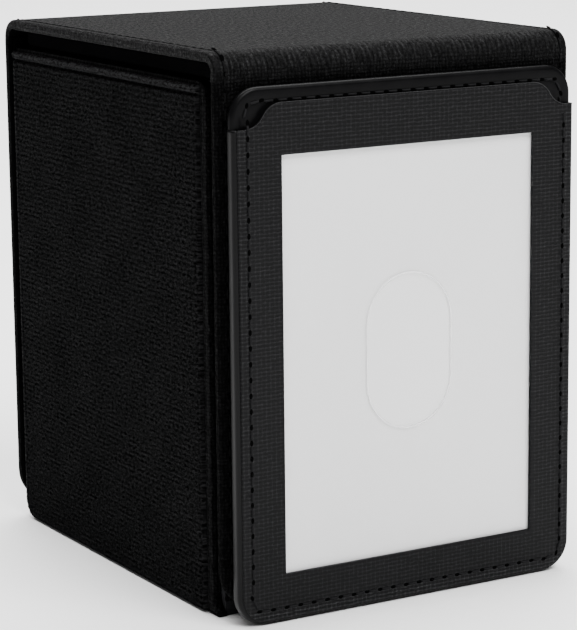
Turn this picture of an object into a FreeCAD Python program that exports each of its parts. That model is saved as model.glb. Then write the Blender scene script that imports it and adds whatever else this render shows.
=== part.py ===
"""A flip-lid card deck box with a removable card display on its front, as a parametric FreeCAD document.

The box is a black tray of greyboard walls between two fabric-covered side shells. A fabric cover runs up
its back, over its top as a padded lid and down its front as a padded flap that magnets hold shut. A flat
leatherette holder clings to the flap by magnets and shows one card behind a clear window.

Frame: +Z up, -Y is the front, origin at the centre of the bounding box on the surface it stands on.
Every size is in millimetres.
"""

import FreeCAD, Part
import math
import os
import re

import Sketcher

SIZES = {
    # the cover, from the flap's outer face at front_y to the rear panel's outer face
    "cover_width": 80.0,
    "cover_depth": 93.0,
    "total_height": 109.4,
    "front_y": -44.3,
    "skin": 1.2,
    "lining": 0.9,
    "fold_radius": 4.0,
    "panel_lift": 2.5,
    "panel_corner": 8.0,
    # the padded pockets on the inner faces of the lid and the flap
    "pad_inset": 2.6,
    "pad_end": 5.4,
    "lid_pad": 3.6,
    "lid_board": 2.0,
    "flap_pad": 3.0,
    "flap_pad_lift": 6.5,
    # the tray
    "tray_width": 72.8,
    "tray_front": 5.4,
    "tray_height": 103.4,
    "facing": 0.4,
    "wall": 2.0,
    "side_wall": 1.7,
    "base_skin": 0.8,
    "base_board": 2.0,
    "flock": 0.5,
    # the side shells and the raised panels on them
    "shell": 2.0,
    "shell_front": 7.2,
    "shell_rear": 90.8,
    "shell_top_corner": 2.5,
    "shell_rear_corner": 4.0,
    "panel": 1.0,
    "panel_front": 9.0,
    "panel_rear": 90.7,
    "panel_bottom": 0.3,
    "panel_top": 102.7,
    "panel_softness": 0.4,
    # the magnets that hold the flap shut
    "magnet_radius": 5.0,
    "magnet_across": 24.0,
    "magnet_up": 16.0,
    "plate_thickness": 0.5,
    "plate_width": 62.0,
    "plate_tall": 84.0,
    # the card display holder, measured from the flap's outer face
    "holder_width": 77.0,
    "holder_tall": 102.7,
    "holder_lift": 0.3,
    "holder_gap": 1.2,
    "holder_corner": 7.0,
    "back_sheet": 0.7,
    "holder_board": 0.6,
    "face_sheet": 0.5,
    "board_inset": 4.2,
    "pocket_depth": 0.7,
    "pocket_width": 64.0,
    "pocket_floor": 6.2,
    "frame_sheet": 0.7,
    "frame_drop": 3.0,
    "shoulder_radius": 5.2,
    "shoulder_inset": 3.2,
    "opening_width": 57.0,
    "opening_tall": 80.6,
    "opening_lift": 9.3,
    "window": 0.25,
    "window_width": 63.6,
    "window_tall": 88.0,
    "thumb_width": 19.0,
    "thumb_tall": 30.4,
    "grip_radius": 4.0,
    "grip_across": 26.0,
    "grip_low": 15.0,
    "grip_high": 89.0,
    "grip_pad_radius": 5.0,
    "grip_pad": 1.0,
    "card_width": 63.0,
    "card_tall": 88.0,
    "card": 0.3,
    "card_corner": 3.0,
    "card_slack": 0.07,
    # the sewing: stitches lie on the surface as short lengths of round thread
    "thread_radius": 0.15,
    "stitch_pitch": 3.0,
    "stitch_length": 2.3,
    "cover_seam": 2.0,
    "holder_seam": 2.7,
    "groove": 0.6,
    "groove_width": 68.0,
    "groove_depth": 0.35,
}

doc = FreeCAD.newDocument("card_deck_box")
sheet = doc.addObject("Spreadsheet::Sheet", "Sizes")
for row, (name, value) in enumerate(SIZES.items(), 1):
    sheet.set(f"A{row}", name)
    sheet.set(f"B{row}", str(value))
    sheet.setAlias(f"B{row}", name)
doc.recompute()
kept = []


# ---- helpers -------------------------------------------------------------------------------------------

def sized(expression):
    """The expression with each cell name pointing at the sheet."""
    return re.sub(r"[a-z][a-z_]+", lambda word: "Sizes." + word.group(0), expression)


def measure(expression):
    """The number that an expression of the sheet comes to."""
    return float(sheet.evalExpression(sized(expression)))


def bind(obj, **expressions):
    """Binds properties to expressions of the sheet; x, y and z stand for the placement's base."""
    for key, expression in expressions.items():
        path = f"Placement.Base.{key}" if key in ("x", "y", "z") else key
        obj.setExpression(path, sized(expression))


def keep(obj, label):
    """Names a finished sub-part and lists it for export."""
    obj.Label = label
    kept.append(obj)
    return obj


def board(label, low, size):
    """A plain rectangular board: its lowest corner and its size along X, Y and Z."""
    box = doc.addObject("Part::Box", label + "_box")
    bind(box, x=low[0], y=low[1], z=low[2], Length=size[0], Width=size[1], Height=size[2])
    return keep(box, label)


def new_body(label, x="0", y="0", z="0"):
    """A PartDesign body at a place in the row frame."""
    body = doc.addObject("PartDesign::Body", label + "_body")
    bind(body, x=x, y=y, z=z)
    return body


def new_sketch(body, plane, name):
    """A sketch on one of the body's own origin planes."""
    sketch = body.newObject("Sketcher::SketchObject", f"{body.Name}_{name}")
    face = next(item for item in body.Origin.OriginFeatures if item.Role == plane)
    sketch.AttachmentSupport = [(face, "")]
    sketch.MapMode = "FlatFace"
    return sketch


def name_constraint(sketch, constraint, name, expression):
    """Adds a dimension and binds it to the sheet."""
    index = sketch.addConstraint(constraint)
    sketch.renameConstraint(index, name)
    sketch.setExpression("Constraints." + name, sized(expression))


def rectangle(sketch, left, bottom, width, height):
    """A rectangle held by its lower left corner and its two sides. Its corner may have any sign."""
    x0, y0 = measure(left), measure(bottom)
    x1, y1 = x0 + measure(width), y0 + measure(height)
    corners = [(x0, y0), (x1, y0), (x1, y1), (x0, y1)]
    points = [FreeCAD.Vector(x, y, 0) for x, y in corners]
    first = sketch.GeometryCount
    for start, end in zip(points, points[1:] + points[:1]):
        sketch.addGeometry(Part.LineSegment(start, end), False)
    for side in range(4):
        ends = (first + side, 2, first + (side + 1) % 4, 1)
        sketch.addConstraint(Sketcher.Constraint("Coincident", *ends))
        kind = "Vertical" if side % 2 else "Horizontal"
        sketch.addConstraint(Sketcher.Constraint(kind, first + side))
    held = (
        ("DistanceX", -1, 1, first, 1, x0, "left", left),
        ("DistanceY", -1, 1, first, 1, y0, "bottom", bottom),
        ("DistanceX", first, 1, first, 2, x1 - x0, "width", width),
        ("DistanceY", first + 1, 1, first + 1, 2, y1 - y0, "height", height),
    )
    for kind, *ends, size, name, expression in held:
        name_constraint(sketch, Sketcher.Constraint(kind, *ends, size), name, expression)


def circles(sketch, radius, places):
    """Equal circles, each held by its centre."""
    for number, (x, y) in enumerate(places):
        centre = FreeCAD.Vector(measure(x), measure(y), 0)
        circle = Part.Circle(centre, FreeCAD.Vector(0, 0, 1), measure(radius))
        index = sketch.addGeometry(circle, False)
        held = (
            (Sketcher.Constraint("Radius", index, measure(radius)), "radius", radius),
            (Sketcher.Constraint("DistanceX", -1, 1, index, 3, centre.x), "across", x),
            (Sketcher.Constraint("DistanceY", -1, 1, index, 3, centre.y), "up", y),
        )
        for constraint, name, expression in held:
            name_constraint(sketch, constraint, f"{name}_{number}", expression)


def pad(body, sketch, thickness, reverse=False):
    """Raises the sketch by the thickness, along the plane's normal or against it."""
    feature = body.newObject("PartDesign::Pad", sketch.Name + "_pad")
    feature.Profile = sketch
    feature.Reversed = reverse
    bind(feature, Length=thickness)
    doc.recompute()
    return feature


def pocket(body, sketch, depth, reverse=False, through=False):
    """Cuts the sketch out of the body and makes sure that it removed something."""
    before = body.Shape.Volume
    feature = body.newObject("PartDesign::Pocket", sketch.Name + "_pocket")
    feature.Profile = sketch
    feature.Reversed = reverse
    if through:
        feature.Type = "ThroughAll"
        feature.Midplane = True
    else:
        bind(feature, Length=depth)
    doc.recompute()
    if body.Shape.Volume > before - 1e-3:
        raise RuntimeError(f"{feature.Name} cuts nothing")
    return feature


def round_edges(body, name, radius, chosen):
    """Rounds the edges of the body's last feature that the test picks out."""
    base = body.Tip
    names = [f"Edge{i}" for i, edge in enumerate(base.Shape.Edges, 1) if chosen(edge)]
    if not names:
        raise RuntimeError(f"{body.Name} has no edge to round for {name}")
    fillet = body.newObject("PartDesign::Fillet", f"{body.Name}_{name}")
    fillet.Base = (base, names)
    bind(fillet, Radius=radius)
    doc.recompute()
    return fillet


def along(edge, axis):
    """True for a straight edge parallel to the axis."""
    if not isinstance(edge.Curve, Part.Line):
        return False
    return abs(abs(edge.Curve.Direction.dot(axis)) - 1) < 1e-6


def middle(edge):
    """The point half-way along an edge."""
    return edge.valueAt((edge.FirstParameter + edge.LastParameter) / 2)


X_AXIS = FreeCAD.Vector(1, 0, 0)
Y_AXIS = FreeCAD.Vector(0, 1, 0)
Z_AXIS = FreeCAD.Vector(0, 0, 1)


# ---- the tray: boards, facing and flocked lining -------------------------------------------------------

TRAY_LEFT = "-tray_width / 2"
TRAY_REAR = "front_y + cover_depth - skin - lining"
FLOOR_TOP = "base_skin + base_board"
WALL_HEIGHT = f"tray_height - ({FLOOR_TOP})"
FRONT_BOARD = "front_y + tray_front + facing"
FRONT_INSIDE = f"{FRONT_BOARD} + wall"
REAR_BOARD = f"{TRAY_REAR} - wall"
BAY_DEPTH = f"({REAR_BOARD}) - ({FRONT_INSIDE})"
BAY_LEFT = "-tray_width / 2 + side_wall"
BAY_WIDTH = "tray_width - 2 * side_wall"
TRAY_DEPTH = f"({TRAY_REAR}) - front_y - tray_front"


def make_magnet_board(label, rear, thickness, left, bottom, width, height):
    """An upright board across the box, with two holes for the flap's closing magnets."""
    body = new_body(label, y=rear)
    outline = new_sketch(body, "XZ_Plane", "outline")
    rectangle(outline, left, bottom, width, height)
    pad(body, outline, thickness)
    holes = new_sketch(body, "XZ_Plane", "holes")
    circles(holes, "magnet_radius", [("-magnet_across", "magnet_up"), ("magnet_across", "magnet_up")])
    pocket(body, holes, thickness, through=True)
    return keep(body, label)


def make_discs(label, rear, thickness, radius, places):
    """Equal round magnets or pads whose axes run front to back, as separate solids of one node."""
    discs = []
    for x, z in places:
        centre = FreeCAD.Vector(measure(x), measure(rear), measure(z))
        discs.append(Part.makeCylinder(measure(radius), measure(thickness), centre, -Y_AXIS))
    feature = doc.addObject("Part::Feature", label + "_discs")
    feature.Shape = Part.makeCompound(discs)
    return keep(feature, label)


def make_tray():
    """The black card tray: a base, four walls, a facing on the front wall and a flocked lining."""
    depth = TRAY_DEPTH
    board("base_cover", (TRAY_LEFT, "front_y + tray_front", "0"), ("tray_width", depth, "base_skin"))
    board("base_board", (TRAY_LEFT, "front_y + tray_front", "base_skin"),
          ("tray_width", depth, "base_board"))
    board("front_facing", (TRAY_LEFT, "front_y + tray_front", FLOOR_TOP),
          ("tray_width", "facing", WALL_HEIGHT))
    make_magnet_board("front_wall_board", FRONT_INSIDE, "wall", TRAY_LEFT, FLOOR_TOP,
                      "tray_width", WALL_HEIGHT)
    board("rear_wall_board", (TRAY_LEFT, REAR_BOARD, FLOOR_TOP), ("tray_width", "wall", WALL_HEIGHT))
    for side, left in (("left", TRAY_LEFT), ("right", "tray_width / 2 - side_wall")):
        board(f"{side}_wall_board", (left, FRONT_INSIDE, FLOOR_TOP),
              ("side_wall", BAY_DEPTH, WALL_HEIGHT))
    make_discs("tray_magnets", FRONT_INSIDE, "wall", "magnet_radius",
               [("-magnet_across", "magnet_up"), ("magnet_across", "magnet_up")])


def make_tray_lining():
    """Five flocked sheets that line the card bay."""
    above = f"{FLOOR_TOP} + flock"
    height = f"tray_height - ({above})"
    board("floor_lining", (BAY_LEFT, FRONT_INSIDE, FLOOR_TOP), (BAY_WIDTH, BAY_DEPTH, "flock"))
    board("front_lining", (BAY_LEFT, FRONT_INSIDE, above), (BAY_WIDTH, "flock", height))
    board("rear_lining", (BAY_LEFT, f"{REAR_BOARD} - flock", above), (BAY_WIDTH, "flock", height))
    for side, left in (("left", BAY_LEFT), ("right", "tray_width / 2 - side_wall - flock")):
        board(f"{side}_lining", (left, f"{FRONT_INSIDE} + flock", above),
              ("flock", f"{BAY_DEPTH} - 2 * flock", height))


# ---- side shells and raised side panels ----------------------------------------------------------------

def make_side_shell(label, x):
    """A fabric-wrapped side board whose top front and lower rear corners are rounded."""
    body = new_body(label, x=x)
    outline = new_sketch(body, "YZ_Plane", "outline")
    rectangle(outline, "front_y + shell_front", "0", "shell_rear - shell_front", "tray_height")
    pad(body, outline, "shell")
    top, rear = measure("tray_height"), measure("front_y + shell_rear")
    front = measure("front_y + shell_front")

    def top_front(edge):
        place = middle(edge)
        return along(edge, X_AXIS) and abs(place.z - top) < 0.01 and abs(place.y - front) < 0.01

    def low_rear(edge):
        place = middle(edge)
        return along(edge, X_AXIS) and abs(place.z) < 0.01 and abs(place.y - rear) < 0.01

    round_edges(body, "top_corner", "shell_top_corner", top_front)
    round_edges(body, "rear_corner", "shell_rear_corner", low_rear)
    return keep(body, label)


def make_side_panel(label, x, outward):
    """A raised fabric panel with soft outer edges and a rounded lower rear corner."""
    body = new_body(label, x=x)
    outline = new_sketch(body, "YZ_Plane", "outline")
    rectangle(outline, "front_y + panel_front", "panel_bottom", "panel_rear - panel_front",
              "panel_top - panel_bottom")
    pad(body, outline, "panel")
    rear, low = measure("front_y + panel_rear"), measure("panel_bottom")

    def low_rear(edge):
        place = middle(edge)
        return along(edge, X_AXIS) and abs(place.z - low) < 0.01 and abs(place.y - rear) < 0.01

    round_edges(body, "rear_corner", "shell_rear_corner", low_rear)
    face = body.Shape.BoundBox.XMax if outward > 0 else body.Shape.BoundBox.XMin
    local = face - measure(x)

    def outer(edge):
        bounds = edge.BoundBox
        return abs(bounds.XMin - local) < 1e-4 and abs(bounds.XMax - local) < 1e-4

    round_edges(body, "soft_edge", "panel_softness", outer)
    return keep(body, label)


def make_sides():
    """Both side shells and both side panels."""
    make_side_shell("left_side_shell", "-tray_width / 2 - shell")
    make_side_shell("right_side_shell", "tray_width / 2")
    make_side_panel("left_side_panel", "-tray_width / 2 - shell - panel", -1)
    make_side_panel("right_side_panel", "tray_width / 2 + shell", 1)


# ---- the cover: rear panel, lid, flap and the two folds ------------------------------------------------

COVER_LEFT = "-cover_width / 2"
FOLD_LEVEL = "total_height - fold_radius"
LID_FRONT = "front_y + fold_radius"
LID_DEPTH = "cover_depth - 2 * fold_radius"
RIM_UNDER = "total_height - skin - lining"
PAD_LEFT = "-cover_width / 2 + pad_inset"
PAD_WIDTH = "cover_width - 2 * pad_inset"
LID_PAD_DEPTH = "cover_depth - 2 * pad_end"
FLAP_PAD_HEIGHT = "tray_height - flap_pad_lift"


def make_upright_sheet(label, rear, thickness):
    """A sheet of the cover that hangs down a face of the box, its lower corners rounded."""
    body = new_body(label, y=rear)
    outline = new_sketch(body, "XZ_Plane", "outline")
    rectangle(outline, COVER_LEFT, "panel_lift", "cover_width", f"{FOLD_LEVEL} - panel_lift")
    pad(body, outline, thickness)
    low = measure("panel_lift")
    round_edges(body, "corners", "panel_corner",
                lambda edge: along(edge, Y_AXIS) and abs(middle(edge).z - low) < 0.01)
    return body


def make_lid():
    """The lid: outer skin, board, foam and a lining that pockets them."""
    board("lid_skin", (COVER_LEFT, LID_FRONT, "total_height - skin"), ("cover_width", LID_DEPTH, "skin"))
    body = new_body("lid_lining", z="total_height - skin")
    flange = new_sketch(body, "XY_Plane", "flange")
    rectangle(flange, COVER_LEFT, LID_FRONT, "cover_width", LID_DEPTH)
    pad(body, flange, "lining", reverse=True)
    pan = new_sketch(body, "XY_Plane", "pan")
    rectangle(pan, PAD_LEFT, "front_y + pad_end", PAD_WIDTH, LID_PAD_DEPTH)
    pad(body, pan, "lid_pad + lining", reverse=True)
    hollow = new_sketch(body, "XY_Plane", "hollow")
    rectangle(hollow, f"{PAD_LEFT} + lining", "front_y + pad_end + lining", f"{PAD_WIDTH} - 2 * lining",
              f"{LID_PAD_DEPTH} - 2 * lining")
    pocket(body, hollow, "lid_pad")
    keep(body, "lid_lining")
    inner = (f"{PAD_WIDTH} - 2 * lining", f"{LID_PAD_DEPTH} - 2 * lining")
    low = (f"{PAD_LEFT} + lining", "front_y + pad_end + lining")
    board("lid_board", (*low, "total_height - skin - lid_board"), (*inner, "lid_board"))
    board("lid_foam", (*low, "total_height - skin - lid_pad"), (*inner, "lid_pad - lid_board"))


def make_flap():
    """The front flap: outer skin, steel plate, board with magnets and a lining that pockets them."""
    keep(make_upright_sheet("flap_skin", "front_y + skin", "skin"), "flap_skin")
    body = make_upright_sheet("flap_lining", "front_y + skin + lining", "lining")
    pan = new_sketch(body, "XZ_Plane", "pan")
    rectangle(pan, PAD_LEFT, "flap_pad_lift", PAD_WIDTH, FLAP_PAD_HEIGHT)
    pad(body, pan, "flap_pad", reverse=True)
    hollow = new_sketch(body, "XZ_Plane", "hollow")
    hollow.AttachmentOffset = FreeCAD.Placement(FreeCAD.Vector(0, 0, measure("lining")), FreeCAD.Rotation())
    hollow.setExpression("AttachmentOffset.Base.z", sized("lining"))
    rectangle(hollow, f"{PAD_LEFT} + lining", "flap_pad_lift + lining", f"{PAD_WIDTH} - 2 * lining",
              f"{FLAP_PAD_HEIGHT} - 2 * lining")
    pocket(body, hollow, "flap_pad")
    keep(body, "flap_lining")
    board("flap_steel_plate", ("-plate_width / 2", "front_y + skin", "flap_pad_lift + lining"),
          ("plate_width", "plate_thickness", "plate_tall"))
    make_magnet_board("flap_board", "front_y + skin + flap_pad", "flap_pad - plate_thickness",
                      f"{PAD_LEFT} + lining", "flap_pad_lift + lining", f"{PAD_WIDTH} - 2 * lining",
                      f"{FLAP_PAD_HEIGHT} - 2 * lining")
    make_discs("flap_magnets", "front_y + skin + flap_pad", "flap_pad - plate_thickness", "magnet_radius",
               [("-magnet_across", "magnet_up"), ("magnet_across", "magnet_up")])


def make_fold(label, centre, turn):
    """A quarter-round strip of skin and lining that joins two panels of the cover. With no turn the
    quarter starts straight down from its centre and runs to the rear."""
    rings = []
    for name, radius in (("outer", "fold_radius"), ("inner", "fold_radius - skin - lining")):
        ring = doc.addObject("Part::Cylinder", f"{label}_{name}")
        bind(ring, x=COVER_LEFT, y=centre, z=FOLD_LEVEL, Radius=radius, Height="cover_width")
        ring.Placement.Rotation = FreeCAD.Rotation(Y_AXIS, 90) * FreeCAD.Rotation(Z_AXIS, turn)
        ring.Angle = 90
        rings.append(ring)
    strip = doc.addObject("Part::Cut", label + "_strip")
    strip.Base, strip.Tool = rings
    return keep(strip, label)


def make_cover():
    """The whole cover, from the rear panel's lower edge over the lid to the flap's lower edge."""
    keep(make_upright_sheet("rear_skin", "front_y + cover_depth", "skin"), "rear_skin")
    keep(make_upright_sheet("rear_cover_lining", "front_y + cover_depth - skin", "lining"),
         "rear_cover_lining")
    make_lid()
    make_flap()
    make_fold("front_fold", LID_FRONT, 180)
    make_fold("rear_fold", "front_y + cover_depth - fold_radius", 90)


# ---- the card display holder ---------------------------------------------------------------------------

HOLDER_LEFT = "-holder_width / 2"
HOLDER_REAR = "front_y - holder_gap"
BOARD_REAR = f"{HOLDER_REAR} - back_sheet"
FACE_STACK = "holder_board + face_sheet"
FACE_FRONT = f"{BOARD_REAR} - holder_board - face_sheet"
FRAME_HEIGHT = "holder_tall - frame_drop"
GRIPS = [(x, z) for x in ("-grip_across", "grip_across") for z in ("grip_low", "grip_high")]


def holder_sheet(label, rear, thickness, height):
    """A sheet of the holder, with its lower corners rounded."""
    body = new_body(label, y=rear)
    outline = new_sketch(body, "XZ_Plane", "outline")
    rectangle(outline, HOLDER_LEFT, "holder_lift", "holder_width", height)
    pad(body, outline, thickness)
    return body


def round_holder(body, corners):
    """Rounds the upright corners of a holder sheet: all four, or only the lower two."""
    low = measure("holder_lift")
    round_edges(body, "corners", "holder_corner",
                lambda edge: along(edge, Y_AXIS) and (corners == 4 or abs(middle(edge).z - low) < 0.01))


def make_holder_back():
    """The holder's stiff back: grip pads, a rear sheet, a board with four magnets and a face sheet."""
    rear = holder_sheet("holder_rear_sheet", HOLDER_REAR, "back_sheet", "holder_tall")
    round_holder(rear, 4)
    keep(rear, "holder_rear_sheet")
    face = holder_sheet("holder_face_sheet", BOARD_REAR, FACE_STACK, "holder_tall")
    round_holder(face, 4)
    groove = new_sketch(face, "XZ_Plane", "sewing_groove")
    groove.AttachmentOffset = FreeCAD.Placement(FreeCAD.Vector(0, 0, measure(FACE_STACK)), FreeCAD.Rotation())
    groove.setExpression("AttachmentOffset.Base.z", sized(FACE_STACK))
    rectangle(groove, "-groove_width / 2", "holder_lift + holder_tall - holder_seam - groove / 2",
              "groove_width", "groove")
    pocket(face, groove, "groove_depth")
    recess = new_sketch(face, "XZ_Plane", "recess")
    inner = ("holder_width - 2 * board_inset", "holder_tall - 2 * board_inset")
    corner = (f"{HOLDER_LEFT} + board_inset", "holder_lift + board_inset")
    rectangle(recess, *corner, *inner)
    pocket(face, recess, "holder_board", reverse=True)
    keep(face, "holder_face_sheet")
    stiff = new_body("holder_board", y=BOARD_REAR)
    outline = new_sketch(stiff, "XZ_Plane", "outline")
    rectangle(outline, *corner, *inner)
    pad(stiff, outline, "holder_board")
    holes = new_sketch(stiff, "XZ_Plane", "holes")
    circles(holes, "grip_radius", GRIPS)
    pocket(stiff, holes, "holder_board", through=True)
    keep(stiff, "holder_board")
    make_discs("holder_magnets", BOARD_REAR, "holder_board", "grip_radius", GRIPS)
    make_discs("holder_grip_pads", f"{HOLDER_REAR} + grip_pad", "grip_pad", "grip_pad_radius", GRIPS)


def shoulder_outline(sketch):
    """The corner that is cut from the frame's top: a ledge, then two tangent arcs up to the top edge."""
    radius = measure("shoulder_radius")
    edge, top = measure("holder_width / 2"), measure(f"holder_lift + {FRAME_HEIGHT}")
    start = edge - measure("shoulder_inset")
    turn = math.radians(60)
    run = 2 * radius * math.sin(turn)
    ledge = top - 2 * radius * (1 - math.cos(turn))
    outside = edge + 1
    above = top + 1
    low_centre = FreeCAD.Vector(start, ledge + radius, 0)
    high_centre = FreeCAD.Vector(start - run, top - radius, 0)
    up = FreeCAD.Vector(0, 0, 1)
    corners = [(outside, ledge), (start, ledge), (start - run, top), (start - run, above), (outside, above)]
    p = [FreeCAD.Vector(x, y, 0) for x, y in corners]
    low = Part.ArcOfCircle(Part.Circle(low_centre, up, radius), math.radians(210), math.radians(270))
    high = Part.ArcOfCircle(Part.Circle(high_centre, up, radius), math.radians(30), math.radians(90))
    pieces = [Part.LineSegment(p[0], p[1]), low, high, Part.LineSegment(p[2], p[3]),
              Part.LineSegment(p[3], p[4]), Part.LineSegment(p[4], p[0])]
    for piece in pieces:
        sketch.addGeometry(piece, False)
    joins = [("Coincident", 0, 2, 1, 2), ("Tangent", 1, 1, 2, 1), ("Coincident", 2, 2, 3, 1),
             ("Coincident", 3, 2, 4, 1), ("Coincident", 4, 2, 5, 1), ("Coincident", 5, 2, 0, 1),
             ("Horizontal", 0), ("Vertical", 3), ("Horizontal", 4), ("Vertical", 5),
             ("Equal", 1, 2), ("Vertical", 1, 3, 1, 2), ("Vertical", 2, 3, 2, 2)]
    for join in joins:
        sketch.addConstraint(Sketcher.Constraint(*join))
    frame_top = f"holder_lift + {FRAME_HEIGHT}"
    held = (
        (Sketcher.Constraint("Radius", 1, radius), "radius", "shoulder_radius"),
        (Sketcher.Constraint("DistanceX", -1, 1, 1, 2, start), "start", "holder_width / 2 - shoulder_inset"),
        (Sketcher.Constraint("DistanceY", -1, 1, 1, 2, ledge), "ledge", f"{frame_top} - shoulder_radius"),
        (Sketcher.Constraint("DistanceY", -1, 1, 2, 2, top), "top", frame_top),
        (Sketcher.Constraint("DistanceX", -1, 1, 0, 1, outside), "outside", "holder_width / 2 + 1"),
        (Sketcher.Constraint("DistanceY", -1, 1, 3, 2, above), "above", f"{frame_top} + 1"),
    )
    for constraint, name, expression in held:
        name_constraint(sketch, constraint, name, expression)


def make_holder_frame():
    """The textured front frame: a sheet with a window opening, over a pocket that opens at the top."""
    body = holder_sheet("holder_frame", FACE_FRONT, "pocket_depth + frame_sheet", FRAME_HEIGHT)
    round_holder(body, 2)
    shoulder = new_sketch(body, "XZ_Plane", "shoulder")
    shoulder_outline(shoulder)
    cut = pocket(body, shoulder, "pocket_depth", through=True)
    mirror = body.newObject("PartDesign::Mirrored", "frame_other_shoulder")
    mirror.Originals = [cut]
    plane = next(item for item in body.Origin.OriginFeatures if item.Role == "YZ_Plane")
    mirror.MirrorPlane = (plane, [""])
    body.Tip = mirror
    doc.recompute()
    slot = new_sketch(body, "XZ_Plane", "card_slot")
    rectangle(slot, "-pocket_width / 2", "holder_lift + pocket_floor", "pocket_width", "holder_tall")
    pocket(body, slot, "pocket_depth", reverse=True)
    opening = new_sketch(body, "XZ_Plane", "opening")
    rectangle(opening, "-opening_width / 2", "holder_lift + opening_lift", "opening_width", "opening_tall")
    pocket(body, opening, "pocket_depth", through=True)
    keep(body, "holder_frame")


def make_window():
    """The clear window, with a round-ended slot for pushing the card up with a thumb."""
    body = new_body("window_sheet", y=f"{FACE_FRONT} - pocket_depth + window")
    outline = new_sketch(body, "XZ_Plane", "outline")
    rectangle(outline, "-window_width / 2", "holder_lift + pocket_floor + 0.2", "window_width",
              "window_tall")
    pad(body, outline, "window")
    middle_z = measure("holder_lift + opening_lift + opening_tall / 2")
    half, radius = measure("(thumb_tall - thumb_width) / 2"), measure("thumb_width / 2")
    slot = new_sketch(body, "XZ_Plane", "thumb_slot")
    up = FreeCAD.Vector(0, 0, 1)
    top, bottom = FreeCAD.Vector(0, middle_z + half, 0), FreeCAD.Vector(0, middle_z - half, 0)
    side = FreeCAD.Vector(radius, 0, 0)
    slot.addGeometry(Part.ArcOfCircle(Part.Circle(top, up, radius), 0, math.pi), False)
    slot.addGeometry(Part.LineSegment(top - side, bottom - side), False)
    slot.addGeometry(Part.ArcOfCircle(Part.Circle(bottom, up, radius), math.pi, 2 * math.pi), False)
    slot.addGeometry(Part.LineSegment(bottom + side, top + side), False)
    for join in ((0, 2, 1, 1), (1, 2, 2, 1), (2, 2, 3, 1), (3, 2, 0, 1)):
        slot.addConstraint(Sketcher.Constraint("Tangent", *join))
    slot.addConstraint(Sketcher.Constraint("Vertical", 1))
    centre = "holder_lift + opening_lift + opening_tall / 2"
    held = (
        (Sketcher.Constraint("Radius", 0, radius), "radius", "thumb_width / 2"),
        (Sketcher.Constraint("DistanceX", -1, 1, 0, 3, 0), "across", "0"),
        (Sketcher.Constraint("DistanceY", -1, 1, 0, 3, top.y), "high",
         f"{centre} + (thumb_tall - thumb_width) / 2"),
        (Sketcher.Constraint("DistanceY", -1, 1, 2, 3, bottom.y), "low",
         f"{centre} - (thumb_tall - thumb_width) / 2"),
    )
    for constraint, name, expression in held:
        name_constraint(slot, constraint, name, expression)
    pocket(body, slot, "window", through=True)
    keep(body, "window_sheet")


def make_card():
    """The card on display, which slides up out of the pocket."""
    body = new_body("display_card", y=f"{FACE_FRONT} - card_slack")
    outline = new_sketch(body, "XZ_Plane", "outline")
    rectangle(outline, "-card_width / 2", "holder_lift + pocket_floor + 0.2", "card_width", "card_tall")
    pad(body, outline, "card")
    round_edges(body, "corners", "card_corner", lambda edge: along(edge, Y_AXIS))
    keep(body, "display_card")


# ---- sewing --------------------------------------------------------------------------------------------

def rounded_path(left, right, low, high, radius, round_top):
    """An upright path of lines and arcs: down the left, along the bottom and up the right, or all round."""
    vector = FreeCAD.Vector
    diagonal = radius * math.sqrt(0.5)

    def corner(cx, cz, start, mid, end):
        return Part.Arc(vector(cx + start[0], 0, cz + start[1]), vector(cx + mid[0], 0, cz + mid[1]),
                        vector(cx + end[0], 0, cz + end[1])).toShape()

    reach = high - radius if round_top else high
    edges = [
        Part.makeLine(vector(left, 0, reach), vector(left, 0, low + radius)),
        corner(left + radius, low + radius, (-radius, 0), (-diagonal, -diagonal), (0, -radius)),
        Part.makeLine(vector(left + radius, 0, low), vector(right - radius, 0, low)),
        corner(right - radius, low + radius, (0, -radius), (diagonal, -diagonal), (radius, 0)),
        Part.makeLine(vector(right, 0, low + radius), vector(right, 0, reach)),
    ]
    if round_top:
        edges += [
            corner(right - radius, high - radius, (radius, 0), (diagonal, diagonal), (0, radius)),
            Part.makeLine(vector(right - radius, 0, high), vector(left + radius, 0, high)),
            corner(left + radius, high - radius, (0, radius), (-diagonal, diagonal), (-radius, 0)),
        ]
    return Part.Wire(edges)


def stitches_on(wire, place_on):
    """Short cylinders of thread along a wire, each moved on to its surface by place_on(point)."""
    radius, length = measure("thread_radius"), measure("stitch_length")
    count = int(wire.Length / measure("stitch_pitch"))
    points = wire.discretize(Number=2 * count + 1)
    threads = []
    for start, end in zip(points[0:-1:2], points[1::2]):
        direction = (end - start).normalize()
        centre = place_on((start + end) * 0.5)
        threads.append(Part.makeCylinder(radius, length, centre - direction * (length / 2), direction))
    return threads


def keep_stitches(label, threads):
    """One node that holds every stitch of a seam as a separate solid."""
    feature = doc.addObject("Part::Feature", label + "_threads")
    feature.Shape = Part.makeCompound(threads)
    keep(feature, label)


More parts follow.
